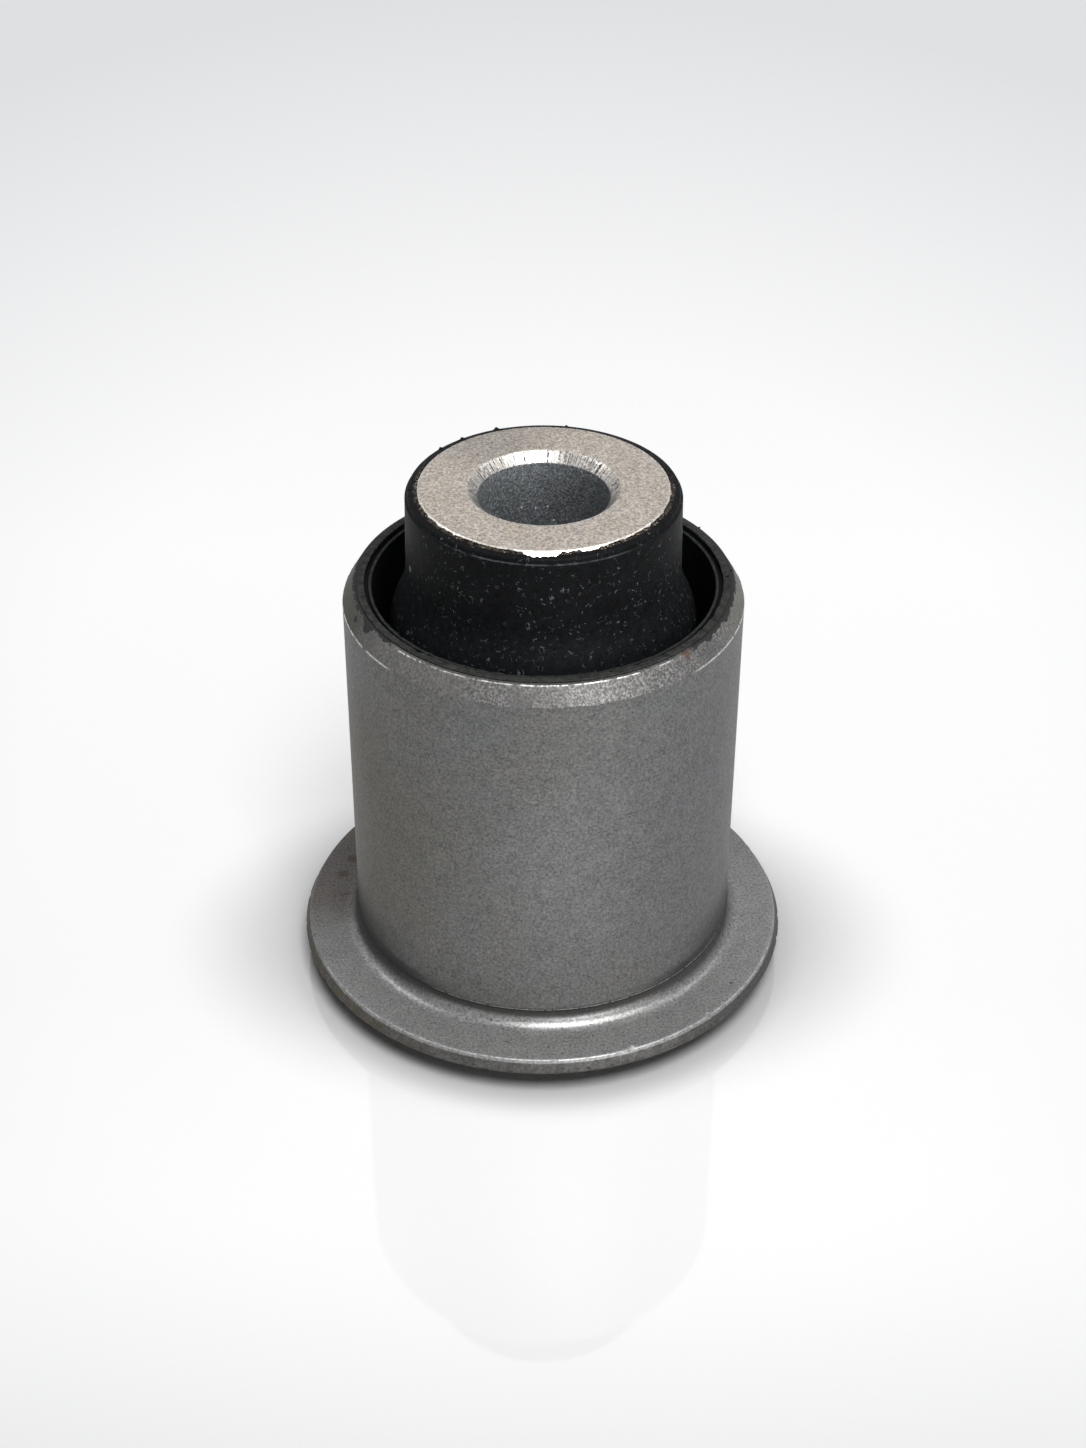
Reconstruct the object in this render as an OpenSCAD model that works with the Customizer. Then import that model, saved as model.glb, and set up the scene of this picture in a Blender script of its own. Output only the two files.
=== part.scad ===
// Bonded rubber metal bush with a flanged outer sleeve, for a suspension arm.
// Three pieces moulded together: a thick inner sleeve for the bolt, a rubber body, and a thin
// outer sleeve that is pressed into an eye up to its flange.
// The axis is Z and z = 0 is the lower end face of the inner sleeve, on which the bush stands.
// All sizes are in millimetres.

/* [Inner sleeve] */
// Length of the inner sleeve, from end face to end face
inner_len = 62; // [60:0.5:66]
// Outside diameter of the inner sleeve
inner_od = 28; // [27:0.25:28.5]
// Diameter of the bore that the bolt passes through
bore_d = 14.2; // [10:0.1:18]
// Width of the 45 degree chamfer at each mouth of the bore
bore_chamfer = 1.1; // [0.5:0.1:2]
// Width of the 45 degree chamfer round each end face
inner_edge = 0.6; // [0.5:0.05:1]

/* [Outer sleeve] */
// Diameter of the sized tube, which is the press fit in the eye
outer_od = 44; // [43.5:0.25:48]
// Wall thickness of the tube
outer_wall = 2; // [1.8:0.1:2.2]
// Length of the sleeve, from the lower face of the flange to the rim
outer_len = 47; // [44:0.5:49]
// How far the inner sleeve stands out below the flange
foot = 3.5; // [3:0.25:5]
// Length of the lead-in chamfer at the rim
lead_len = 2; // [1:0.1:4]
// Depth of the lead-in chamfer at the rim
lead_depth = 1.2; // [0.8:0.05:1.3]

/* [Flange] */
// Diameter of the flange at its lower edge
flange_od = 56.8; // [54:0.2:64]
// Thickness of the flange
flange_t = 1.6; // [1.4:0.1:2]
// How much smaller the radius of the flange is at its upper edge
flange_slant = 0.6; // [0.2:0.05:1]
// Radius of the fillet between the tube and the flange
flange_fillet = 2.1; // [1.6:0.1:2.6]
// Radius on the two edges of the flange
flange_edge = 0.22; // [0.1:0.02:0.4]
// Depth of the undercut where the sized tube ends above the fillet
undercut = 0.25; // [0.1:0.05:0.4]

/* [Rubber on the inner sleeve] */
// Thickness of the band of rubber at each end of the inner sleeve
band_t = 0.6; // [0.5:0.05:0.7]
// Height of that band
band_h = 0.65; // [0.5:0.05:0.9]
// Thickness of the neck of rubber just past the band
neck_t = 0.85; // [0.75:0.05:0.95]
// Thickness of the neck where it runs into the shoulder
neck_base_t = 1.0; // [0.95:0.05:1.2]
// How far the rubber ends short of the end face
band_gap = 0.3; // [0.2:0.05:0.4]
// Thickness of the rubber skin that laps over the edge of the end face
skin_t = 0.15; // [0.1:0.05:0.25]
// Thickness of the rubber at the widest part of the shoulder
shoulder_t = 2.9; // [2.4:0.1:3.2]
// Depth of the widest part of the shoulder below the rim of the outer sleeve
shoulder_depth = 5; // [4.8:0.1:6]
// Depth of the widest part of the other shoulder inside the flange
foot_shoulder_depth = 7; // [6.6:0.1:8]
// Radius of the shoulder's outward curve
shoulder_r = 7; // [6:0.5:8]
// Radius of the inward curve between the neck and the shoulder
neck_fillet = 9; // [6:0.5:9]

/* [Rubber in the outer sleeve] */
// Thickness of the lining at the mouth of the sleeve
lining_t = 1.2; // [1:0.05:1.4]
// Thickness of the lining at the bottom of the groove
lining_base_t = 1.5; // [1.45:0.05:1.8]
// Depth of the groove between the lining and the shoulder
groove_depth = 12; // [9:0.5:15]
// How far the groove's inner wall leans out at the bottom, so that the mould core can leave
groove_draft = 0.2; // [0.05:0.05:0.3]
// How far the rim ring stands above the steel rim
ring_rise = 0.2; // [0.1:0.05:0.4]
// How far the rim ring laps over the steel rim
ring_lap = 0.4; // [0.2:0.05:0.45]
// How far the rim ring reaches in from the inside of the tube
ring_reach = 0.4; // [0.3:0.05:0.45]
// Width of the sealing lip inside the rim ring
lip_w = 0.35; // [0.32:0.01:0.45]
// How far the lip lies below the steel rim
lip_drop = 0.1; // [0:0.05:0.3]
// Depth of the nick between the rim ring and the lip, below the steel rim
nick_depth = 0.55; // [0.4:0.05:0.9]
// How far the rubber ends short of the lower face of the flange
mouth_gap = 0.8; // [0.5:0.1:1.2]
// Radius on the edges of the rubber
rubber_edge = 0.12; // [0.08:0.01:0.14]

/* [Hidden] */
$fn = 180;

inner_r = inner_od / 2;
outer_r = outer_od / 2;
wall_r = outer_r - outer_wall;
flange_r = flange_od / 2;
rim_z = foot + outer_len;
// overshoot of a cut past the face it starts from
past = 1;
// overlap of neighbouring pieces of one section
lap = 0.3;
// how far a curve cuts into the one it runs into, so that they cross cleanly
bite = 0.002;
// rise of the ledge between the neck and the band
ledge_slope = 0.1;
// most of the height of a thin ridge that the round on its edges may take
round_share = 0.4;

// inside bend of the sleeve, where the tube was flared into the flange
bend_r = flange_t + flange_fillet;

// flange edge: centres of its lower and upper rounds, and a slanted flat that touches both
edge_low = [flange_r - flange_edge, flange_edge];
edge_high = [edge_low[0] - flange_slant, flange_t - flange_edge];
edge_lean = atan(flange_slant / (edge_high[1] - edge_low[1]));
edge_out = flange_edge * [cos(edge_lean), sin(edge_lean)];

// shoulder and neck: centres of the two curves that run into each other, and where they meet,
// with y = 0 at the widest part of the shoulder
shoulder_out = inner_r + shoulder_t;
neck_base_r = inner_r + neck_base_t;
shoulder_c = [shoulder_out - shoulder_r, 0];
fillet_c_r = neck_base_r + neck_fillet - bite;
curves_apart = shoulder_r + neck_fillet - bite;
fillet_c = [fillet_c_r, sqrt(pow(curves_apart, 2) - pow(fillet_c_r - shoulder_c[0], 2))];
meet = shoulder_c + (fillet_c - shoulder_c) * shoulder_r / curves_apart;

// groove: walls at its bottom, and the round that joins them
groove_in_r = shoulder_out + groove_draft;
groove_out_r = wall_r - lining_base_t;
groove_round = (groove_out_r - groove_in_r) / 2;
// depth at which the solid web starts, inside the layer of rubber under each groove
web_depth = groove_depth + lap / 2;

// a square with one corner at p and the opposite corner at q
module box2(p, q) translate(p) square(q - p);

// a bar of rubber whose upper two corners are rounded
module crested(x0, x1, y0, y1) {
    r = min(rubber_edge, (y1 - y0) * round_share);
    box2([x0, y0], [x1, y1 - r]);
    box2([x0 + r, y0], [x1 - r, y1]);
    for (x = [x0 + r, x1 - r]) translate([x, y1 - r]) circle(r);
}

// half section of the inner sleeve
module inner_section() {
    bore_r = bore_d / 2;
    polygon([
        [bore_r + bore_chamfer, 0], [inner_r - inner_edge, 0],
        [inner_r, inner_edge], [inner_r, inner_len - inner_edge],
        [inner_r - inner_edge, inner_len], [bore_r + bore_chamfer, inner_len],
        [bore_r, inner_len - bore_chamfer], [bore_r, bore_chamfer]
    ]);
}

// half section of the outer sleeve, with its flange's lower face at z = 0
module outer_section() {
    relief_r = outer_r - undercut;
    difference() {
        union() {
            // tube with its lead-in chamfer
            polygon([
                [wall_r, bend_r], [outer_r, bend_r], [outer_r, outer_len - lead_len],
                [outer_r - lead_depth, outer_len], [wall_r, outer_len]
            ]);
            // flange with its slanted, rounded edge, and the web that joins it to the tube
            polygon([
                [wall_r, 0], [edge_low[0], 0], edge_low + edge_out,
                edge_high + edge_out, [edge_high[0], flange_t], [wall_r, flange_t]
            ]);
            for (centre = [edge_low, edge_high]) translate(centre) circle(flange_edge);
            box2([wall_r, 0], [relief_r, bend_r]);
            // outer fillet
            difference() {
                box2([wall_r, 0], [relief_r + flange_fillet, bend_r]);
                translate([relief_r + flange_fillet, bend_r]) circle(flange_fillet);
            }
        }
        bell_cut();
    }
}

// what the inside bend takes off the lower end of the sleeve
module bell_cut() {
    difference() {
        box2([wall_r - past, -past], [wall_r + bend_r, bend_r]);
        translate([wall_r + bend_r, bend_r]) circle(bend_r);
    }
}

// half section of the rubber on the inner sleeve at one end, with y = 0 at the widest part of the
// shoulder; reach is the height of the end face and depth that of the groove below it
module hub_section(reach, depth) {
    crown = reach - band_gap;
    ledge = crown - band_h;
    round_r = band_t / 2;
    difference() {
        union() {
            // inner wall of the groove
            polygon([
                [inner_r, -depth - lap], [groove_in_r, -depth - lap],
                [groove_in_r, groove_round - depth], [shoulder_out, 0], [inner_r, 0]
            ]);
            // shoulder
            intersection() {
                translate(shoulder_c) circle(shoulder_r);
                box2([inner_r, -lap], [shoulder_out + past, meet[1] + lap]);
            }
            // inward curve up to the neck
            difference() {
                box2([inner_r, meet[1] - lap], [meet[0], fillet_c[1]]);
                translate(fillet_c) circle(neck_fillet);
            }
            // neck, the ledge above it and the band
            polygon([
                [inner_r, fillet_c[1] - lap], [neck_base_r, fillet_c[1] - lap],
                [neck_base_r, fillet_c[1]], [inner_r + neck_t, ledge],
                [inner_r + band_t, ledge + ledge_slope],
                [inner_r + band_t, crown - round_r], [inner_r + band_t - round_r, crown],
                [inner_r - inner_edge + skin_t, reach - skin_t / 2],
                [inner_r - inner_edge + skin_t, crown - inner_edge]
            ]);
            translate([inner_r + band_t - round_r, crown - round_r]) circle(round_r);
        }
        // the sleeve's own chamfered end
        polygon([
            [0, -depth - past], [inner_r, -depth - past],
            [inner_r, reach - inner_edge], [inner_r - inner_edge, reach], [0, reach]
        ]);
    }
}

// rounded bottom of the groove, as the rubber that is left round it
module groove_floor() {
    difference() {
        box2([groove_in_r - lap, -groove_depth - lap], [groove_out_r + lap, groove_round - groove_depth]);
        translate([(groove_in_r + groove_out_r) / 2, groove_round - groove_depth]) circle(groove_round);
    }
}

// half section of the rubber inside the mouth of the outer sleeve at y = 0, without its lining;
// stand is how far the end face stands out of the mouth
module end_section(stand, shoulder_at) {
    translate([0, -shoulder_at]) hub_section(stand + shoulder_at, groove_depth - shoulder_at);
    groove_floor();
}

// half section of the lining, from the bottom of the groove up to y = top
module lining(top) {
    polygon([
        [groove_out_r, -groove_depth - lap], [wall_r, -groove_depth - lap], [wall_r, top],
        [wall_r - lining_t, top], [groove_out_r, groove_round - groove_depth]
    ]);
}

// half section of the lining at the rim end: lining, lip, nick and rim ring
module rim_lining() {
    lip_in = wall_r - lining_t;
    ring_in = wall_r - ring_reach;
    lining(-nick_depth);
    crested(lip_in, lip_in + lip_w, -nick_depth - lap, -lip_drop);
    box2([ring_in, -nick_depth - lap], [wall_r, ring_rise / 2]);
    crested(ring_in, wall_r + ring_lap, 0, ring_rise);
}

// half section of the lining at the flange end, which fills the bend of the sleeve
module mouth_lining() {
    lining(lap - bend_r);
    difference() {
        crested(wall_r - lining_t, wall_r + bend_r, -bend_r, -mouth_gap);
        translate([wall_r + bend_r, -bend_r]) circle(bend_r);
    }
}

module outer_sleeve() {
    color("#7b7c78") translate([0, 0, foot]) rotate_extrude() outer_section();
}

module rubber_body() {
    color("#1d1f21") {
        rotate_extrude() {
            // solid web between the two grooves
            box2([inner_r, foot + web_depth], [wall_r, rim_z - web_depth]);
            translate([0, rim_z]) {
                end_section(inner_len - rim_z, shoulder_depth);
                rim_lining();
            }
        }
        // the flange end is the same the other way up
        translate([0, 0, foot]) mirror([0, 0, 1]) rotate_extrude() {
            end_section(foot, foot_shoulder_depth);
            mouth_lining();
        }
    }
}

module inner_sleeve() {
    color("#b9b0a6") rotate_extrude() inner_section();
}

outer_sleeve();
rubber_body();
inner_sleeve();
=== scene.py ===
import math

import bmesh
import bpy
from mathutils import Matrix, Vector, noise


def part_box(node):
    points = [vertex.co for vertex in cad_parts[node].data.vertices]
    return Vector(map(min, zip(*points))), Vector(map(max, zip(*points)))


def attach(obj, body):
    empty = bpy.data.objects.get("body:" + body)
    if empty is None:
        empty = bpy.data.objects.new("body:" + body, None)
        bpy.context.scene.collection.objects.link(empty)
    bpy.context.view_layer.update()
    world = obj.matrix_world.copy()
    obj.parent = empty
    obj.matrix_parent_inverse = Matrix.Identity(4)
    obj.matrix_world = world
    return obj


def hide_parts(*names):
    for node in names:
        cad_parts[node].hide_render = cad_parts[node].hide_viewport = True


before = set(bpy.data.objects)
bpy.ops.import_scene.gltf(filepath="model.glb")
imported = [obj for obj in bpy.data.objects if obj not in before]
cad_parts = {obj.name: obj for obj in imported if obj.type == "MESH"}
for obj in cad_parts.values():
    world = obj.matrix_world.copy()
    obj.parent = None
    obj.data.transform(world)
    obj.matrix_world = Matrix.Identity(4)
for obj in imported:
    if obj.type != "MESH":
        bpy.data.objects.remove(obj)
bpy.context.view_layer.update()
scene = bpy.context.scene
mm = 0.001

# Camera: it stands in front of the bush and looks down on it at 35 degrees, with the bush's axis
# in the middle of the frame. It leans by a fifth of a degree, as the photographer's did.
camera_distance = 215.8 * mm
camera_height = 182.8 * mm
camera_pitch = 35.11
camera_roll = 0.2
camera_lens = 57.5

camera = bpy.data.objects.new("camera", bpy.data.cameras.new("camera"))
camera.data.lens = camera_lens
camera.data.clip_start = 10 * mm
camera.location = (0, -camera_distance, camera_height)
camera.rotation_mode = "ZYX"
camera.rotation_euler = (math.radians(90 - camera_pitch), 0, math.radians(camera_roll))
scene.collection.objects.link(camera)
scene.camera = camera
scene.view_settings.view_transform = "Standard"


# Lamps: a soft box high in front lights the bush and the floor, so that the flange shades the floor
# below it. The others light the bush alone: one on the right, a low one for the standing walls, and
# two weak ones behind. A level of 1 would light a white card that faces the lamp to white.
lamp_target = Vector((0, 0, 30 * mm))
bush = bpy.data.collections.new("bush")


def softbox(name, azimuth, elevation, size, level, distance=0.6):
    """A square lamp that faces the bush; azimuth 0 is in front of it and 90 on its right."""
    turn, rise = math.radians(azimuth), math.radians(elevation)
    direction = Vector((math.sin(turn) * math.cos(rise), -math.cos(turn) * math.cos(rise), math.sin(rise)))
    lamp = bpy.data.objects.new(name, bpy.data.lights.new(name, "AREA"))
    lamp.data.size = size
    lamp.data.energy = level * (math.pi * distance) ** 2
    lamp.location = direction * distance + lamp_target
    lamp.rotation_mode = "QUATERNION"
    lamp.rotation_quaternion = direction.to_track_quat("Z", "Y")
    scene.collection.objects.link(lamp)
    return lamp


softbox("key_softbox", azimuth=12, elevation=60, size=0.24, level=0.58)
for name, azimuth, elevation, level in (
        ("right_softbox", 52, 60, 0.33), ("low_softbox", 24, 15, 0.58),
        ("back_left_softbox", -115, 50, 0.15), ("back_right_softbox", 115, 50, 0.1)):
    flagged = softbox(name, azimuth, elevation, size=0.25, level=level)
    flagged.light_linking.receiver_collection = bush


# Room: an even pale grey, which the camera and the metal see as it is. Its weaker share of the
# other light fills the shadows.
scene.world = bpy.data.worlds.new("pale_room")
scene.world.use_nodes = True
tree = scene.world.node_tree
tree.nodes.clear()


def ink(code):
    """A linear colour from an sRGB hex code."""
    parts = [int(code[i:i + 2], 16) / 255 for i in (1, 3, 5)]
    return [c / 12.92 if c <= 0.04045 else ((c + 0.055) / 1.055) ** 2.4 for c in parts] + [1]


def add(tree, kind, inputs=(), **settings):
    """A new node with its settings; each input is a value or the output of another node."""
    node = tree.nodes.new("ShaderNode" + kind)
    for name, value in settings.items():
        setattr(node, name, value)
    for socket, value in dict(inputs).items():
        if isinstance(value, bpy.types.NodeSocket):
            tree.links.new(value, node.inputs[socket])
        else:
            node.inputs[socket].default_value = value
    return node


room_colour = ink("#e1e1e3")
room_fill = ink("#323232")
rays = add(tree, "LightPath").outputs
seen = add(tree, "Math", {0: rays["Is Camera Ray"], 1: rays["Is Glossy Ray"]}, operation="MAXIMUM")
seen = add(tree, "Math", {0: seen.outputs[0], 1: rays["Is Transmission Ray"]}, operation="MAXIMUM")
colour = add(tree, "Mix", {0: seen.outputs[0], 6: room_fill, 7: room_colour}, data_type="RGBA")
shade = add(tree, "Background", {"Color": colour.outputs[2]})
add(tree, "OutputWorld", {"Surface": shade.outputs[0]})


# Floor: a large sheet of glossy white plastic, which mirrors the bush faintly. It is white round the
# bush and turns a soft grey away from it.
floor_size = 3.0
floor_roughness, floor_ior = 0.04, 1.8

# The grey begins at a distance from a point 50 mm behind the bush, and sooner at the sides.
floor_white = ink("#fbfbfb")
floor_grey = ink("#e1e3e5")
floor_bright_to, floor_grey_from = 110 * mm, 310 * mm
floor_middle, floor_narrow = (0, -50 * mm, 0), (1.6, 1, 1)

# The white is helped by a glow that only the camera and mirrors see. It rises from the front to the
# back. It is held back round the bush, which paints a wide soft shade beside it, and under the
# flange's edge, so that the contact shadow there stays dark.
near_glow, near_from, near_to = (0.22, 0.48), -112 * mm, -42 * mm
far_glow, far_from, far_to = 0.1, -10 * mm, 90 * mm
shade_wide, shade_from, shade_to = (0.7, 1, 1), 16 * mm, 33 * mm
contact_from, contact_to = 26 * mm, 32 * mm

bm = bmesh.new()
bmesh.ops.create_grid(bm, x_segments=1, y_segments=1, size=floor_size / 2)
floor = bpy.data.objects.new("floor", bpy.data.meshes.new("floor"))
bm.to_mesh(floor.data)
bm.free()
scene.collection.objects.link(floor)


def new_material(name):
    """An empty node material, and its node tree."""
    material = bpy.data.materials.new(name)
    material.use_nodes = True
    material.node_tree.nodes.clear()
    return material, material.node_tree


def spread(tree, place, start, stop, stretch=(1, 1, 1), shift=(0, 0, 0), **how):
    """0 to 1 as the distance from a point, on the floor as stretched, goes from start to stop."""
    away = add(tree, "VectorMath", {0: place, 1: stretch, 2: shift}, operation="MULTIPLY_ADD").outputs[0]
    away = add(tree, "VectorMath", {0: away}, operation="LENGTH").outputs["Value"]
    return add(tree, "MapRange", {0: away, 1: start, 2: stop}, **how).outputs[0]


material, tree = new_material("glossy_white_sheet")
place = add(tree, "TexCoord").outputs["Object"]
fade = spread(tree, place, floor_bright_to, floor_grey_from, floor_narrow, floor_middle)
colour = add(tree, "Mix", {0: fade, 6: floor_white, 7: floor_grey}, data_type="RGBA").outputs[2]
depth = add(tree, "SeparateXYZ", {0: place}).outputs["Y"]
far = add(tree, "MapRange", {0: depth, 1: far_from, 2: far_to, 4: far_glow}).outputs[0]
glow = add(
    tree, "MapRange", {0: depth, 1: near_from, 2: near_to, 3: near_glow[0], 4: near_glow[1]},
    interpolation_type="SMOOTHSTEP").outputs[0]
glow = add(tree, "Math", {0: glow, 1: far}, operation="ADD").outputs[0]
# Painted shade: the glow held back in a wide ring beside the bush.
shade = spread(tree, place, shade_from, shade_to, shade_wide, interpolation_type="SMOOTHSTEP")
contact = spread(tree, place, contact_from, contact_to, interpolation_type="SMOOTHSTEP")
rays = add(tree, "LightPath").outputs
seen = add(tree, "Math", {0: rays["Is Camera Ray"], 1: rays["Is Glossy Ray"]}, operation="MAXIMUM")
for share in (shade, contact, seen.outputs[0]):
    glow = add(tree, "Math", {0: glow, 1: share}, operation="MULTIPLY").outputs[0]
shader = add(tree, "BsdfPrincipled", {
    "Base Color": colour, "Roughness": floor_roughness, "IOR": floor_ior,
    "Emission Color": colour, "Emission Strength": glow,
})
add(tree, "OutputMaterial", {"Surface": shader.outputs[0]})
floor.data.materials.append(material)


# Outer sleeve: a steel tube, flared at its lower end into a flange, sized on the outside and
# chamfered at the rim, then phosphated. It is a press fit in the eye of a suspension arm.
sleeve_low, sleeve_high = (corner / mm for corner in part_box("outer_sleeve"))
flange_z, rim_z, flange_r = sleeve_low.z, sleeve_high.z, sleeve_high.x
tube_r, wall_r = 22, 20
lead_z, rim_r = rim_z - 2, 20.8
flange_top, bend_z = flange_z + 1.6, flange_z + 3.7
fillet_r, relief_r = 2.1, 21.75
bend_r = bend_z - flange_z
edge_r, edge_slant = 0.22, 0.6
edge_low_z, edge_high_z = flange_z + edge_r, flange_top - edge_r
edge_lean = math.degrees(math.atan2(edge_slant, edge_high_z - edge_low_z))
edge_out = Vector((math.cos(math.radians(edge_lean)), math.sin(math.radians(edge_lean)))) * edge_r
nick_size, nick_depth, nick_level = 0.8, 0.2, 0.3
lead_wave, lead_ragged, lead_border = 0.7, 0.16, 0.2

# Every piece is turned in this many columns, as copies of one wedge, and has this many steps in
# each small round.
columns, wedges = 720, 12
round_steps = 3


class Section:
    """The half section of a turned piece in millimetres, drawn counter-clockwise with r to the right."""

    def __init__(self):
        self.mesh = bmesh.new()
        self.ends = []
        self.corners = []

    def start(self, r, z):
        """The first point of a stretch."""
        self.tip = self.mesh.verts.new((r * mm, 0, z * mm))
        self.ends.append(self.tip)

    def line(self, r, z, steps=1):
        """A straight line to a point."""
        step = (Vector((r, 0, z)) * mm - self.tip.co) / steps
        for _ in range(steps):
            made = bmesh.ops.extrude_vert_indiv(self.mesh, verts=[self.tip])
            self.tip = made["verts"][0]
            self.tip.co += step

    def corner(self, r, z, radius, steps=1):
        """A straight line to a corner that gets a small round."""
        self.line(r, z, steps)
        self.corners.append((self.tip, radius * mm))

    def arc(self, r, z, degrees, steps):
        """An arc round a centre, counter-clockwise where degrees is above 0."""
        made = bmesh.ops.spin(
            self.mesh, geom=[self.tip], cent=(r * mm, 0, z * mm), axis=(0, -1, 0),
            angle=math.radians(degrees), steps=steps)
        self.tip = made["geom_last"][0]

    def stop(self):
        """The last point of a stretch."""
        self.ends.append(self.tip)

    def close(self):
        """Joins each stretch to the next, and rounds the corners."""
        for a, b in zip(self.ends[1::2], self.ends[2::2] + self.ends[:1]):
            self.mesh.edges.new((a, b))
        for corner, radius in self.corners:
            a, b = [(edge.other_vert(corner).co - corner.co) for edge in corner.link_edges]
            bmesh.ops.bevel(
                self.mesh, geom=[corner], affect="VERTICES", segments=round_steps, profile=0.5,
                material=-1, offset=radius / math.tan(a.angle(b) / 2))

    def turn(self):
        """Spins the section round the bush's axis: one wedge, then copies of it that close the ring."""
        wedge = 2 * math.pi / wedges
        drawn = self.mesh.verts[:] + self.mesh.edges[:]
        bmesh.ops.spin(self.mesh, geom=drawn, axis=(0, 0, 1), angle=wedge, steps=columns // wedges)
        drawn = self.mesh.verts[:] + self.mesh.edges[:] + self.mesh.faces[:]
        bmesh.ops.spin(
            self.mesh, geom=drawn, axis=(0, 0, 1), angle=2 * math.pi - wedge, steps=wedges - 1,
            use_duplicate=True)
        bmesh.ops.remove_doubles(self.mesh, verts=self.mesh.verts, dist=0.001 * mm)
        bmesh.ops.recalc_face_normals(self.mesh, faces=self.mesh.faces)

    def piece(self, name, material):
        """The finished piece: smooth, with the flats kept flat beside their small rounds."""
        for face in self.mesh.faces:
            face.smooth = True
        made = bpy.data.objects.new(name, bpy.data.meshes.new(name))
        self.mesh.to_mesh(made.data)
        self.mesh.free()
        made.data.materials.append(material)
        made.modifiers.new("flats", "WEIGHTED_NORMAL").keep_sharp = True
        scene.collection.objects.link(made)
        bush.objects.link(made)
        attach(made, "root")
        return made


def per(size):
    """The scale of a noise whose spots are about this many millimetres wide."""
    return 1 / (size * mm)


section = Section()
section.start(wall_r, bend_z)
section.arc(wall_r + bend_r, bend_z, degrees=90, steps=10)
section.line(flange_r - edge_r, flange_z, steps=4)
section.arc(flange_r - edge_r, edge_low_z, degrees=90 + edge_lean, steps=6)
section.line(flange_r - edge_r - edge_slant + edge_out.x, edge_high_z + edge_out.y, steps=3)
section.arc(flange_r - edge_r - edge_slant, edge_high_z, degrees=90 - edge_lean, steps=4)
section.line(relief_r + fillet_r, flange_top, steps=8)
section.arc(relief_r + fillet_r, bend_z, degrees=-90, steps=12)
section.corner(tube_r, bend_z, radius=0.06)
section.corner(tube_r, lead_z, radius=0.15, steps=4)
section.corner(rim_r, rim_z, radius=0.08, steps=4)
section.line(wall_r, rim_z, steps=3)
section.stop()
section.close()
section.turn()

# The flange's edge is nicked from handling, and the lower border of the chamfer runs a little ragged.
for v in section.mesh.verts:
    r = math.hypot(v.co.x, v.co.y) / mm
    if r > flange_r - edge_r - edge_slant:
        v.co.xy *= 1 - max(0, noise.noise(v.co * per(nick_size)) - nick_level) * nick_depth / r
    if r > rim_r and abs(v.co.z / mm - lead_z) < lead_border:
        v.co.z += noise.noise(v.co * per(lead_wave)) * lead_ragged * mm

degree = math.radians(1)
grain_height = 0.03 * mm


def polar(tree):
    """Where a point of a piece is: its place, its radius, its height, and its angle from the front."""
    place = add(tree, "TexCoord").outputs["Object"]
    part = add(tree, "SeparateXYZ", {0: place}).outputs
    flat = add(tree, "VectorMath", {0: place, 1: (1, 1, 0)}, operation="MULTIPLY").outputs[0]
    radius = add(tree, "VectorMath", {0: flat}, operation="LENGTH").outputs["Value"]
    back = add(tree, "Math", {0: part["Y"], 1: -1}, operation="MULTIPLY").outputs[0]
    turn = add(tree, "Math", {0: part["X"], 1: back}, operation="ARCTAN2").outputs[0]
    return place, radius, part["Z"], turn


def band(tree, value, low, high, soft, unit=mm):
    """1 between two values, fading to 0 over soft on both sides."""
    low, high, soft = low * unit, high * unit, soft * unit
    rise = add(tree, "MapRange", {0: value, 1: low - soft, 2: low}, interpolation_type="SMOOTHSTEP")
    fall = add(tree, "MapRange", {0: value, 1: high + soft, 2: high}, interpolation_type="SMOOTHSTEP")
    return add(tree, "Math", {0: rise.outputs[0], 1: fall.outputs[0]}, operation="MULTIPLY").outputs[0]


def spots(tree, place, size, level, soft=0.04):
    """1 in ragged spots about size millimetres wide; the higher the level, the fewer they are."""
    field = add(tree, "TexNoise", {"Vector": place, "Scale": per(size), "Detail": 2}).outputs[0]
    return add(tree, "MapRange", {0: field, 1: level - soft, 2: level + soft}).outputs[0]


def both(tree, *masks):
    """1 where all the masks are 1."""
    mask = masks[0]
    for other in masks[1:]:
        mask = add(tree, "Math", {0: mask, 1: other}, operation="MULTIPLY").outputs[0]
    return mask


def near(tree, place, point, reach, soft, ragged=0):
    """1 within reach millimetres of a point, fading to 0 over soft, with a border that may be ragged."""
    point = [c * mm for c in point]
    away = add(tree, "VectorMath", {0: place, 1: point}, operation="DISTANCE").outputs["Value"]
    if ragged:
        wave = 4 * ragged
        field = add(tree, "TexNoise", {"Vector": place, "Scale": per(wave), "Detail": 3}).outputs[0]
        away = add(tree, "Math", {0: field, 1: wave * mm, 2: away}, operation="MULTIPLY_ADD").outputs[0]
        reach += 2 * ragged
    far, close = (reach + soft) * mm, reach * mm
    return add(tree, "MapRange", {0: away, 1: far, 2: close}, interpolation_type="SMOOTHSTEP").outputs[0]


def at(r, z, degrees):
    """The point at a radius, height and angle; 0 degrees is the front of the bush and 90 its right."""
    turn = math.radians(degrees)
    return r * math.sin(turn), -r * math.cos(turn), z


def lay(tree, finish, mask, code, roughness, metallic):
    """Lays a finish, which is colour, roughness and metallic, over the one so far where the mask is 1."""
    colour, rough, metal = finish
    colour = add(tree, "Mix", {0: mask, 6: colour, 7: ink(code)}, data_type="RGBA").outputs[2]
    rough = add(tree, "Mix", {0: mask, 2: rough, 3: roughness}).outputs[0]
    metal = add(tree, "Mix", {0: mask, 2: metal, 3: metallic}).outputs[0]
    return colour, rough, metal


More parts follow.
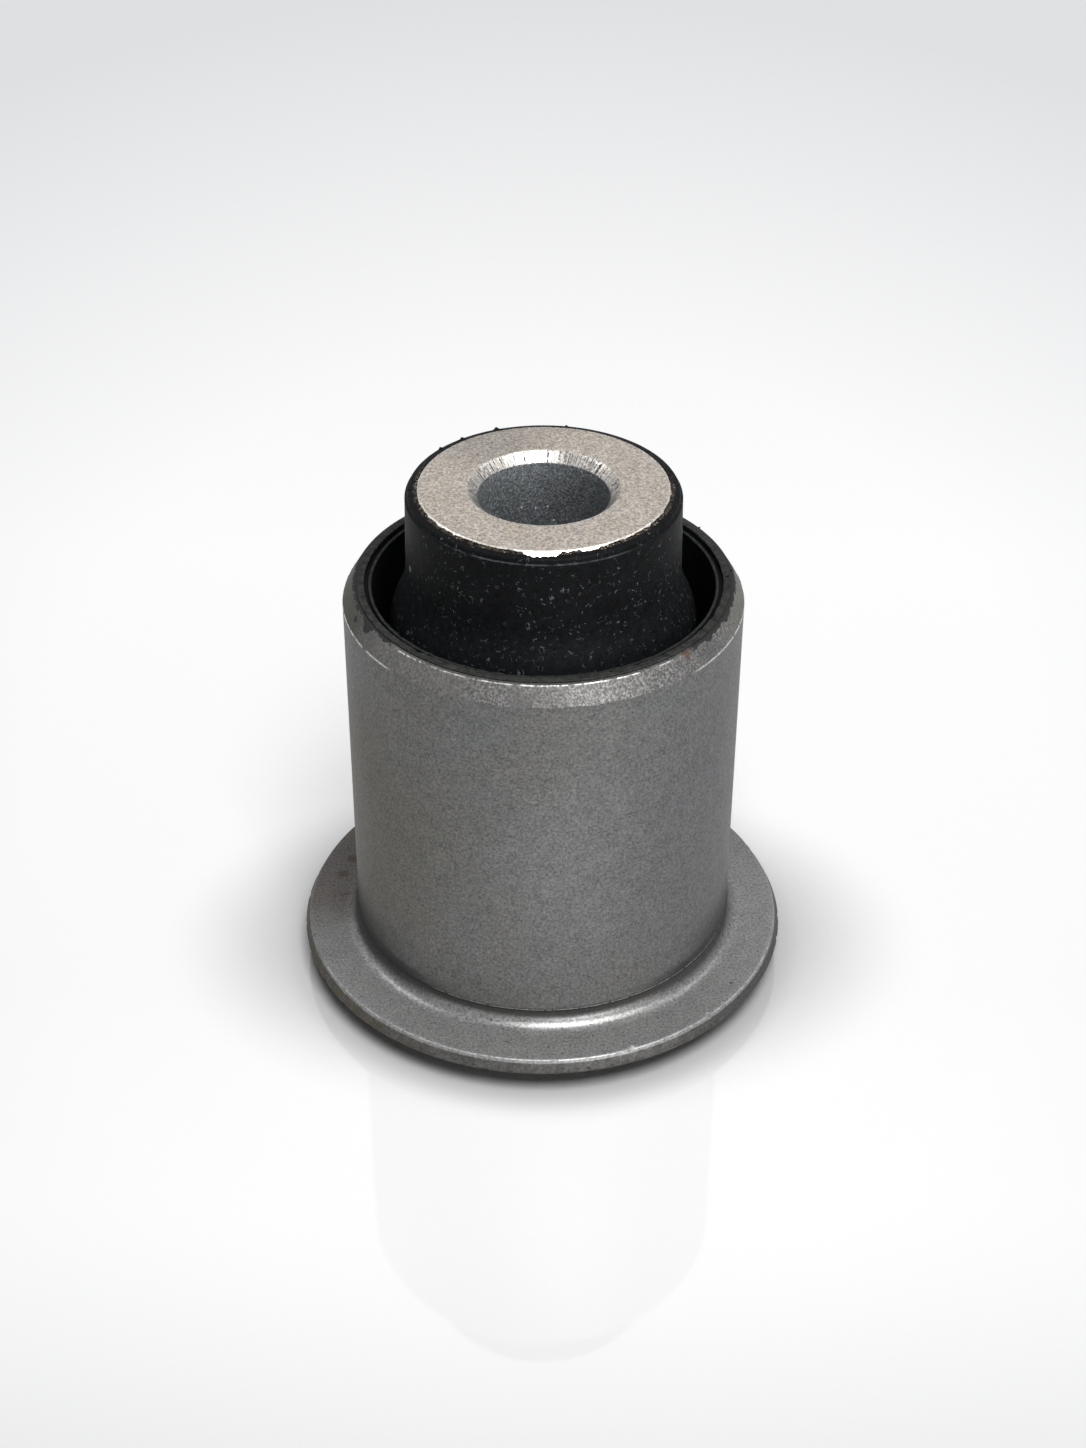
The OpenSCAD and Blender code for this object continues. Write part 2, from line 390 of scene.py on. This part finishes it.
def grained(tree, place, size, detail, roughness, reach, contrast):
    """A grain about size millimetres wide, and its tone, which lies evenly on both sides of 1."""
    grain = add(tree, "TexNoise", {
        "Vector": place, "Scale": per(size), "Detail": detail, "Roughness": roughness,
    }).outputs[0]
    tone = add(tree, "MapRange", {
        0: grain, 1: 0.5 - reach, 2: 0.5 + reach, 3: 1 - contrast, 4: 1 + contrast,
    }).outputs[0]
    return grain, tone


def apply_finish(tree, finish, grain, tone, **extra):
    """Makes the material's surface from a finish, its tone, and its grain as a slight relief."""
    colour, rough, metal = finish
    colour = add(tree, "VectorMath", {0: colour, 1: tone}, operation="MULTIPLY").outputs[0]
    bump = add(tree, "Bump", {"Strength": 0.5, "Distance": grain_height, "Height": grain}).outputs[0]
    shader = add(tree, "BsdfPrincipled", {
        "Base Color": colour, "Metallic": metal, "Roughness": rough, "Normal": bump, **extra,
    })
    add(tree, "OutputMaterial", {"Surface": shader.outputs[0]})


# Mild steel under a phosphate coat: a dull grey with a fine grain, brownish in places. Its crystals
# are a few hundredths of a millimetre wide, too fine to show, and are drawn ten times as coarse.
crystal_size, mottle_size, cloud_size = 0.3, 1.8, 7
mottle_share = 0.4

material, tree = new_material("phosphated_steel")
place, radius, height, turn = polar(tree)
side = add(tree, "Math", {0: turn}, operation="ABSOLUTE").outputs[0]
ring = add(tree, "CombineXYZ", {0: radius, 2: height}).outputs[0]
grain, tone = grained(tree, place, crystal_size, detail=2, roughness=0.8, reach=0.25, contrast=0.58)
mottle = add(tree, "TexNoise", {"Vector": place, "Scale": per(mottle_size), "Detail": 2}).outputs[0]
tone = add(tree, "Math", {0: mottle, 1: mottle_share, 2: tone}, operation="MULTIPLY_ADD").outputs[0]
tone = add(tree, "Math", {0: tone, 1: -mottle_share / 2}, operation="ADD").outputs[0]
cloud = add(tree, "TexNoise", {"Vector": place, "Scale": per(cloud_size), "Detail": 3}).outputs[0]
cloud = add(tree, "MapRange", {0: cloud, 1: 0.35, 2: 0.65}).outputs[0]
colour = add(tree, "Mix", {0: cloud, 6: ink("#686764"), 7: ink("#656666")}, data_type="RGBA").outputs[2]
finish = colour, 0.55, 0.5

# The tube has a shade of olive on its left. It is drawn brighter in front as a painted highlight, and
# darker on its right and at its foot, at the sides and behind, as painted shade.
olive = near(tree, place, at(tube_r, 26, -72), 8, 14, 1.5)
finish = lay(tree, finish, olive, "#62605a", 0.6, 0.5)
# Painted highlight: the front of the tube drawn brighter.
painted_highlight_front = near(tree, place, at(tube_r, 28, 17), 3, 13)
finish = lay(tree, finish, painted_highlight_front, "#707070", 0.5, 0.55)
# Painted shade: the right of the tube drawn darker.
painted_shade_right = near(tree, place, at(tube_r, 26, 80), 14, 18, 1)
finish = lay(tree, finish, painted_shade_right, "#606061", 0.6, 0.5)
# Painted shade: the tube's foot drawn darker at the sides and behind.
painted_shade_foot = both(tree, band(tree, height, 7, 7.5, 7), band(tree, side, 70, 180, 35, degree))
finish = lay(tree, finish, painted_shade_foot, "#333331", 0.6, 0.4)

# The flange is paler than the tube and browner on its left, and drawn paler in front as painted light.
flange_zone = band(tree, height, flange_z, flange_top + 0.3, 0.4)
finish = lay(tree, finish, flange_zone, "#747473", 0.5, 0.5)
# Painted light: the flange's front drawn paler.
painted_light_flange_front = both(tree, flange_zone, band(tree, turn, -50, 95, 30, degree))
finish = lay(tree, finish, painted_light_flange_front, "#80807f", 0.5, 0.5)
brown = both(tree, flange_zone, band(tree, turn, -130, -92, 18, degree))
finish = lay(tree, finish, brown, "#5d5956", 0.55, 0.5)

# The lead-in chamfer is darker than the tube, with pale speckles, and darkest on its left.
lead_zone = band(tree, height, lead_z, rim_z, 0.05)
finish = lay(tree, finish, lead_zone, "#575655", 0.5, 0.5)
speckle = both(tree, lead_zone, spots(tree, place, 0.24, 0.52, 0.06), spots(tree, place, 5, 0.42, 0.2))
finish = lay(tree, finish, speckle, "#7e7d7c", 0.45, 0.6)
lead_front = both(tree, lead_zone, band(tree, turn, -58, -28, 12, degree))
finish = lay(tree, finish, lead_front, "#666563", 0.5, 0.5)
lead_left = both(tree, lead_zone, band(tree, turn, -130, -78, 30, degree))
finish = lay(tree, finish, lead_left, "#414039", 0.6, 0.4)
lead_right = both(tree, lead_zone, band(tree, turn, 78, 130, 20, degree))
finish = lay(tree, finish, lead_right, "#63625e", 0.6, 0.4)

# Rubbing has left the fillet bright in front, with dark nicks. The flange beside it has small pits,
# and the undercut above it and the tube's foot at the sides are darkened with painted shade. A ring is
# given as its radius, 0 and its height.
fillet_ring, nicked_ring = (22.6, 0, 5.5), (22.4, 0, 5.7)
fillet = both(tree, near(tree, ring, fillet_ring, 0.4, 0.8), band(tree, turn, -45, 105, 20, degree))
finish = lay(tree, finish, fillet, "#7d7d7c", 0.32, 0.85)
nicks = both(tree, near(tree, ring, nicked_ring, 0.9, 0.2), spots(tree, place, 0.5, 0.7, 0.01))
finish = lay(tree, finish, nicks, "#3a3a3a", 0.6, 0)
pits = both(tree, flange_zone, band(tree, radius, 24, 27.4, 0.3), spots(tree, place, 0.5, 0.71, 0.02))
finish = lay(tree, finish, pits, "#3d3c3b", 0.7, 0.1)
# Painted shade: the undercut drawn dark all round.
painted_shade_undercut = both(tree, band(tree, height, 6.5, 7.15, 0.6), band(tree, radius, 20.5, 22.4, 0.1))
# Painted shade: the undercut and the tube's foot drawn darker at the sides.
painted_shade_undercut_sides = both(
    tree, band(tree, height, 6.2, 7.9, 1.1), band(tree, radius, 20.5, 22.8, 0.3),
    band(tree, side, 50, 130, 30, degree))
finish = lay(tree, finish, painted_shade_undercut_sides, "#2f2f2f", 0.7, 0.3)
finish = lay(tree, finish, painted_shade_undercut, "#2b2a29", 0.8, 0.1)

# The flange's edge is dark and dirty, with pits along its middle and a little rust on its left. Its
# upper corner is rubbed bare, and drawn near white in front as a painted highlight. Three faint brown
# stains lie on the flange.
corner_ring = (27.8, 0, 5.05)
# Painted highlight: the worn upper corner drawn near white, in front.
corner_wear_and_highlight = both(tree, near(tree, ring, corner_ring, 0.04, 0.05), spots(tree, place, 0.8, 0.43, 0.06))
corner_wear_and_highlight = both(tree, corner_wear_and_highlight, band(tree, turn, -62, 70, 6, degree))
finish = lay(tree, finish, corner_wear_and_highlight, "#d9d9d7", 0.32, 0.85)
edge_zone = band(tree, radius, 27.98, 30, 0.1)
finish = lay(tree, finish, edge_zone, "#4e4d4b", 0.55, 0.45)
edge_dirt = both(tree, edge_zone, spots(tree, place, 1.4, 0.5, 0.12))
finish = lay(tree, finish, edge_dirt, "#403f3c", 0.6, 0.4)
edge_right = both(tree, edge_zone, band(tree, turn, 60, 140, 30, degree))
finish = lay(tree, finish, edge_right, "#3f3f3f", 0.6, 0.4)
edge_pits = both(tree, edge_zone, band(tree, height, 3, 4.0, 0.3), spots(tree, place, 0.35, 0.63, 0.03))
finish = lay(tree, finish, edge_pits, "#22211f", 0.8, 0)
edge_rust = both(tree, edge_zone, near(tree, place, at(flange_r, 4.3, -75), 12, 14, 1))
edge_rust = both(tree, edge_rust, spots(tree, place, 0.7, 0.5, 0.1))
finish = lay(tree, finish, edge_rust, "#46412f", 0.7, 0.2)
for r, degrees, reach in ((24.9, -101.4, 0.35), (23.7, -92.6, 0.2), (24.8, -109, 0.3)):
    stain = near(tree, place, at(r, flange_top, degrees), reach, 0.6, 0.25)
    finish = lay(tree, finish, stain, "#544a41", 0.7, 0.2)

# Broken bright lines run where the coat is rubbed off the corners of the rim, of the chamfer and of
# the tube's foot, drawn only where those corners catch the light, as painted highlights.
rim_ring, lead_ring, foot_ring = (20.86, 0, 50.46), (22, 0, 48.5), (22, 0, 7.25)
rim_corner = near(tree, ring, rim_ring, 0.04, 0.07)
# Painted highlight along the worn rim corner, in front.
for start, stop in ((-46, -33), (-31, -24), (-19, 27), (36, 39)):
    rim_wear_and_glint = both(tree, rim_corner, band(tree, turn, start, stop, 2, degree))
    rim_wear_and_glint = both(tree, rim_wear_and_glint, spots(tree, place, 0.6, 0.49, 0.1))
    finish = lay(tree, finish, rim_wear_and_glint, "#dad8d5", 0.3, 0.8)
# Painted highlight along the worn chamfer corner, at the sides.
lead_wear_and_glint = both(tree, near(tree, ring, lead_ring, 0.07, 0.08), band(tree, side, 50, 80, 5, degree))
lead_wear_and_glint = both(tree, lead_wear_and_glint, spots(tree, place, 1.2, 0.4, 0.08))
finish = lay(tree, finish, lead_wear_and_glint, "#b9b8b5", 0.35, 0.8)
# Painted highlight along the worn foot corner, in front.
foot_wear_and_glint = both(tree, near(tree, ring, foot_ring, 0.05, 0.08), band(tree, turn, -28, 70, 10, degree))
foot_wear_and_glint = both(tree, foot_wear_and_glint, spots(tree, place, 1, 0.45, 0.06))
finish = lay(tree, finish, foot_wear_and_glint, "#a5a5a3", 0.35, 0.8)

# Black rubber is left on the chamfer: three smears on its left, and a film with a ragged border that
# runs round it at the sides and behind. A speck of rust sits on the right.
film_ring, film_wave, film_ragged = (20.3, 0, 50.6), 1.2, 1.5
for r, z, degrees, reach in (
        (21.05, 49.6, -70.6, 0.45), (20.75, 50.3, -63, 0.6), (20.6, 50.5, -56, 0.5)):
    stain = near(tree, place, at(r, z, degrees), reach, 0.15, 0.3)
    finish = lay(tree, finish, stain, "#0f0f0e", 0.85, 0)
rust = near(tree, place, at(20.9, 50.4, 45.6), 0.3, 0.5, 0.3)
finish = lay(tree, finish, rust, "#4d3d33", 0.7, 0.1)
wild = add(tree, "TexNoise", {"Vector": place, "Scale": per(film_wave), "Detail": 3}).outputs["Color"]
wild = add(tree, "VectorMath", {0: wild, 1: (0.5, 0.5, 0.5)}, operation="SUBTRACT").outputs[0]
wild = add(tree, "VectorMath", {
    0: wild, 1: (film_ragged * mm, 0, film_ragged * mm), 2: ring,
}, operation="MULTIPLY_ADD").outputs[0]
for start, stop, reach in ((98, 200, 1.2), (50, 98, 0.75), (-115, -52, 0.5), (-200, -115, 1.2)):
    film = near(tree, wild, film_ring, reach, 0.12)
    film = both(tree, band(tree, turn, start, stop, 4, degree), film)
    finish = lay(tree, finish, film, "#0e0e0e", 0.85, 0)
apply_finish(tree, finish, grain, tone)

outer_sleeve = section.piece("flanged_sleeve", material)
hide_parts("outer_sleeve")


# Inner sleeve: a thick steel tube that the bolt is clamped through. Its ends are shot-blasted, the
# mouths of its bore are chamfered bright, and the bore keeps its dark scale.
inner_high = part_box("inner_sleeve")[1] / mm
end_z, inner_r = inner_high.z, inner_high.x
inner_edge, bore_r, bore_chamfer = 0.6, 7.1, 1.1

section = Section()
section.start(bore_r, end_z / 2)
section.corner(bore_r, bore_chamfer, radius=0.1, steps=4)
section.corner(bore_r + bore_chamfer, 0, radius=0.35, steps=3)
section.corner(inner_r - inner_edge, 0, radius=0.1, steps=10)
section.corner(inner_r, inner_edge, radius=0.1, steps=2)
section.corner(inner_r, end_z - inner_edge, radius=0.1, steps=4)
section.corner(inner_r - inner_edge, end_z, radius=0.1, steps=2)
section.corner(bore_r + bore_chamfer, end_z, radius=0.35, steps=10)
section.corner(bore_r, end_z - bore_chamfer, radius=0.1, steps=3)
section.stop()
section.close()
section.turn()


def strokes(tree, place, size, width, level):
    """1 on short curved strokes about size millimetres long; a higher level makes them fewer."""
    bent = add(tree, "TexNoise", {"Vector": place, "Scale": per(size), "Detail": 0}).outputs["Color"]
    sway = [size * mm] * 3
    bent = add(tree, "VectorMath", {0: bent, 1: sway, 2: place}, operation="MULTIPLY_ADD").outputs[0]
    path = add(tree, "TexVoronoi", {"Vector": bent, "Scale": per(size)}, feature="DISTANCE_TO_EDGE")
    path = path.outputs[0]
    path = add(tree, "MapRange", {0: path, 1: 0.7 * width / size, 2: 0.3 * width / size}).outputs[0]
    return both(tree, path, spots(tree, place, size, level, 0.02))


# Bare steel, blasted with grit: a warm pale grey with a sandy grain. The grit's marks are about a
# tenth of a millimetre wide and are drawn three times as coarse, so that they show. Fine pale
# scores cross the end face.
grit_size = 0.3

material, tree = new_material("blasted_steel")
place, radius = polar(tree)[:2]
grain, tone = grained(tree, place, grit_size, detail=2, roughness=0.8, reach=0.25, contrast=0.62)
mottle = spots(tree, place, 3.5, 0.56, 0.14)
finish = lay(tree, (ink("#b9b2a9"), 0.55, 0.9), mottle, "#afa69b", 0.6, 0.8)
shade = near(tree, place, at(11, end_z, -150), 2, 7, 1)
finish = lay(tree, finish, shade, "#a09a92", 0.6, 0.8)
scores = strokes(tree, place, 0.7, 0.07, 0.66)
finish = lay(tree, finish, scores, "#d5cfc5", 0.45, 0.9)

# The bore keeps its scale: slate grey and scratched, with a few white specks at the back.
bore_zone = band(tree, radius, 0, bore_r + 0.06, 0.06)
finish = lay(tree, finish, bore_zone, "#676b6e", 0.5, 0.4)
scale_marks = both(tree, bore_zone, strokes(tree, place, 0.35, 0.06, 0.45))
finish = lay(tree, finish, scale_marks, "#a4a8aa", 0.4, 0.5)
for degrees, z in ((-160, 55.6), (-172.8, 55.3), (176.5, 55.5), (171, 53.8)):
    speck = near(tree, place, at(bore_r, z, degrees), 0.07, 0.08)
    finish = lay(tree, finish, speck, "#f2f2f0", 0.5, 0)

# The chamfers are turned bright. The marks of the tool across them are finer than they are drawn.
chamfer_zone = band(tree, radius, bore_r + 0.1, bore_r + bore_chamfer - 0.06, 0.06)
finish = lay(tree, finish, chamfer_zone, "#bdbab4", 0.32, 1)
flat = add(tree, "VectorMath", {0: place, 1: (1, 1, 0)}, operation="MULTIPLY").outputs[0]
across = add(tree, "VectorMath", {0: flat}, operation="NORMALIZE").outputs[0]
scored = add(tree, "VectorMath", {0: across, 1: [bore_r * mm] * 3}, operation="MULTIPLY").outputs[0]
dark_scores = both(tree, chamfer_zone, spots(tree, scored, 0.16, 0.54, 0.04))
dark_scores = both(tree, dark_scores, spots(tree, place, 0.5, 0.46, 0.06))
finish = lay(tree, finish, dark_scores, "#4a4845", 0.5, 0.6)
bare_edge = band(tree, radius, inner_r - inner_edge - 0.01, 20, 0.05)
finish = lay(tree, finish, bare_edge, "#d8d3ca", 0.3, 1)
apply_finish(tree, finish, grain, tone)

inner_sleeve = section.piece("bolt_sleeve", material)
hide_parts("inner_sleeve")


# Rubber body: natural rubber, moulded round the inner sleeve and into the outer one, and bonded to
# both. A deep groove at each end leaves a neck and a shoulder inside it and a thin lining outside.
shoulder_r, neck_r, neck_top_r, band_r, crown_r = 16.9, 15.0, 14.85, 14.6, 0.3
shoulder_curve, neck_curve = 7, 9
groove_r, groove_z, groove_round, lining_r = 17.8, -11.3, 0.7, 18.8
neck_centre_r = neck_r + neck_curve
curve_span = shoulder_curve + neck_curve
curve_rise = math.sqrt(curve_span ** 2 - (neck_centre_r - shoulder_r + shoulder_curve) ** 2)
curve_sweep = math.degrees(math.asin(curve_rise / curve_span))
ledge_drop, band_drop, crown_drop = 0.95, 0.85, 0.6
skin_t = 0.15
skin_r = inner_r - inner_edge + skin_t
ring_half, ring_z = 0.4, 0.2
slot_r, slot_z, lip_z = lining_r + 0.35, -0.55, -0.1


def hub(section, reach, shoulder_z):
    """The groove, shoulder, neck, band and skin at one end; z = 0 is the outer sleeve's edge."""
    section.line(groove_r + groove_round, groove_z)
    section.arc(groove_r, groove_z, degrees=-180, steps=7)
    section.line(shoulder_r, shoulder_z)
    section.arc(shoulder_r - shoulder_curve, shoulder_z, degrees=curve_sweep, steps=9)
    section.arc(neck_centre_r, shoulder_z + curve_rise, degrees=-curve_sweep, steps=9)
    section.corner(neck_top_r, reach - ledge_drop, radius=0.1)
    section.corner(band_r, reach - band_drop, radius=0.05)
    section.line(band_r, reach - crown_drop)
    section.arc(band_r - crown_r, reach - crown_drop, degrees=90, steps=4)
    section.line(skin_r, reach - skin_t / 2, steps=6)
    section.line(skin_r, reach - skin_t)
    section.line(inner_r, reach - inner_edge)
    section.stop()


section = Section()
section.start(wall_r, 0)
section.line(wall_r + ring_half, 0)
section.corner(wall_r + ring_half, ring_z, radius=0.08)
section.corner(wall_r - ring_half, ring_z, radius=0.08, steps=5)
section.corner(wall_r - ring_half, slot_z, radius=0.05)
section.corner(slot_r, slot_z, radius=0.05)
section.corner(slot_r, lip_z, radius=0.1)
section.corner(lining_r, lip_z, radius=0.1, steps=2)
hub(section, reach=end_z - rim_z, shoulder_z=-5)
bmesh.ops.translate(section.mesh, verts=section.mesh.verts, vec=(0, 0, rim_z * mm))
upper = set(section.mesh.verts)

# The lower end is drawn upwards too, then turned over. Its lining fills the bend of the sleeve.
mouth_z = -0.8
mouth_angle = math.degrees(math.acos((bend_r + mouth_z) / bend_r))
section.start(wall_r, -bend_r)
section.arc(wall_r + bend_r, -bend_r, degrees=mouth_angle - 90, steps=6)
section.corner(lining_r, mouth_z, radius=0.12)
hub(section, reach=flange_z, shoulder_z=-7)
lower = [v for v in section.mesh.verts if v not in upper]
bmesh.ops.scale(section.mesh, verts=lower, vec=(1, 1, -1))
bmesh.ops.translate(section.mesh, verts=lower, vec=(0, 0, flange_z * mm))
section.ends[2:] = section.ends[:1:-1]
section.close()
section.turn()

# Moulding flash and tears at the upper end: the skin's edge is ragged, small nubs stand on it, a
# piece of it is torn off at the front, and the ring on the rim has lost small chips. A nub is given
# as radius, height, angle and size, and a tear as the angles and the radius that it reaches.
nubs = (
    (14.3, 61.7, -158.5, 0.25), (14.2, 61.7, -140.8, 0.2), (14.25, 61.7, -127.9, 0.2),
    (20.4, 50.7, 93.4, 0.35), (20.4, 50.7, 133.5, 0.4), (20.4, 50.7, 121, 0.25),
    (14.3, 61.7, 170, 0.15), (14.3, 61.7, 68, 0.15), (13.75, 61.8, 14, 0.15))
nub_points = [(Vector(at(r, z, degrees)) * mm, size * mm) for r, z, degrees, size in nubs]
tears = ((-9.4, 7.4, 14.05), (15, 25, 13.78), (84, 88, 13.9))
tear_depth, tear_border, tear_ragged = 0.9, 0.12, 1.5
wave_size, crumb_size = 1.1, 0.45


def chip(wave, crumb, share, level, depth):
    """How deep a chip is at a point; a higher level makes them fewer."""
    return max(0, wave + share * crumb - level) * depth * mm


for v in section.mesh.verts:
    r, z = math.hypot(v.co.x, v.co.y) / mm, v.co.z / mm
    degrees = math.degrees(math.atan2(v.co.x, -v.co.y))
    wave, crumb = noise.noise(v.co * per(wave_size)), noise.noise(v.co * per(crumb_size))
    if z > end_z - inner_edge + 0.01 and r < band_r - 0.2:
        torn = 0
        for start, stop, torn_r in tears:
            inside = min(degrees + tear_ragged * wave - start, stop - degrees - tear_ragged * crumb)
            reach = skin_r + (torn_r - skin_r) * min(max(inside / 2, 0), 1) + 0.12 * crumb + 0.1 * wave
            torn = max(torn, min(max((reach - r) / tear_border, 0), 1) * min(max(inside, 0), 1))
        v.co.z -= torn * tear_depth * mm
        v.co.z -= chip(wave, crumb, 0.6, 0.25, 0.25)
        if r < skin_r + 0.2:
            v.co.xy *= 1 + (0.12 * wave + 0.1 * crumb) / r
    if z > rim_z + 0.1 and r > wall_r - 0.5:
        v.co.z -= chip(wave, crumb, 0.5, 0.3, 0.3)
        v.co.xy *= 1 + 0.05 * crumb / r
    if rim_z - 0.3 < z < rim_z + 0.1 and r < lining_r + 0.4:
        v.co.z -= chip(wave, crumb, 0.5, 0.2, 0.25)
    for point, size in nub_points:
        swell = math.exp(-((v.co - point).length / size) ** 2)
        v.co += Vector((v.co.x / r, v.co.y / r, 1 * mm)) * (swell * size / mm)
    if z > end_z / 2:
        v.co.z = min(v.co.z, (end_z - 0.01) * mm)

# Carbon black rubber, satin from the mould, which shines less than a plastic, and dusty in spots. The
# shoulder is drawn paler as painted sheen, the ring on the rim is drawn grey, and its lip carries a
# painted highlight.
rubber_grain, rubber_shine = 0.8, 0.07

material, tree = new_material("moulded_rubber")
place, radius, height, turn = polar(tree)
ring = add(tree, "CombineXYZ", {0: radius, 2: height}).outputs[0]
grain, tone = grained(tree, place, rubber_grain, detail=4, roughness=0.9, reach=0.2, contrast=0.8)
finish = ink("#0a0b0c"), 0.55, 0
dusty = spots(tree, place, 4, 0.5, 0.15)
finish = lay(tree, finish, dusty, "#0e0f10", 0.6, 0)
# Painted sheen: the upward-facing shoulder drawn paler.
shoulder = both(tree, band(tree, height, 30, 51, 4), band(tree, radius, 14.5, 17.5, 0.2))
finish = lay(tree, finish, shoulder, "#101213", 0.6, 0)
ring_top = both(tree, band(tree, height, 50.62, 51, 0.08), band(tree, radius, 19.5, 20.5, 0.05))
finish = lay(tree, finish, ring_top, "#323231", 0.6, 0)
# Painted highlight: the lip's top drawn grey.
lip_highlight = both(tree, band(tree, height, 50.3, 50.5, 0.1), band(tree, radius, 18.7, 19.2, 0.05))
finish = lay(tree, finish, lip_highlight, "#2a2b2b", 0.55, 0)
# A painted highlight runs along the ledge below the skin, in front only.
ledge_ring = (14.75, 0, 61.12)
ledge_highlight = both(tree, near(tree, ring, ledge_ring, 0.06, 0.07), band(tree, turn, -25, 25, 25, degree))
ledge_highlight = both(tree, ledge_highlight, spots(tree, place, 1.2, 0.42, 0.12))
finish = lay(tree, finish, ledge_highlight, "#3a3c3d", 0.5, 0)

# Brown dirt and pale chips of bare steel show along the edge of the skin round the end face.
skin_zone = both(tree, band(tree, height, 61.62, 63, 0.05), band(tree, radius, 13, 14.3, 0.1))
strip = both(tree, skin_zone, band(tree, radius, 13, 13.9, 0.1), band(tree, turn, -100, 90, 12, degree))
dirt = both(tree, strip, spots(tree, place, 0.5, 0.48, 0.08))
finish = lay(tree, finish, dirt, "#3b352e", 0.7, 0)
chips = both(tree, strip, spots(tree, place, 0.3, 0.64, 0.03))
finish = lay(tree, finish, chips, "#958f85", 0.4, 0.5)

# Pale lint and grit catch the light on the neck. The lint is drawn thicker than real threads, which
# would not show.
neck_zone = both(tree, band(tree, height, 44, 61.7, 0.3), band(tree, radius, 14, 17.5, 0.2))
lint = both(tree, neck_zone, strokes(tree, place, 0.6, 0.045, 0.6), spots(tree, place, 4, 0.47, 0.08))
finish = lay(tree, finish, lint, "#5a5e60", 0.6, 0)
grit = both(tree, neck_zone, spots(tree, place, 0.1, 0.8, 0.02))
finish = lay(tree, finish, grit, "#6a6d6e", 0.6, 0)
burr = near(tree, place, at(13.7, 61.85, 14), 0.14, 0.06)
finish = lay(tree, finish, burr, "#8f8a80", 0.4, 0.6)
scratch = near(tree, place, at(15.05, 54.5, -71.9), 0.25, 0.2)
finish = lay(tree, finish, scratch, "#9a9c9c", 0.5, 0)
apply_finish(tree, finish, grain, tone, **{"Specular IOR Level": rubber_shine})

rubber_body = section.piece("rubber_body_moulding", material)
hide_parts("rubber_body")
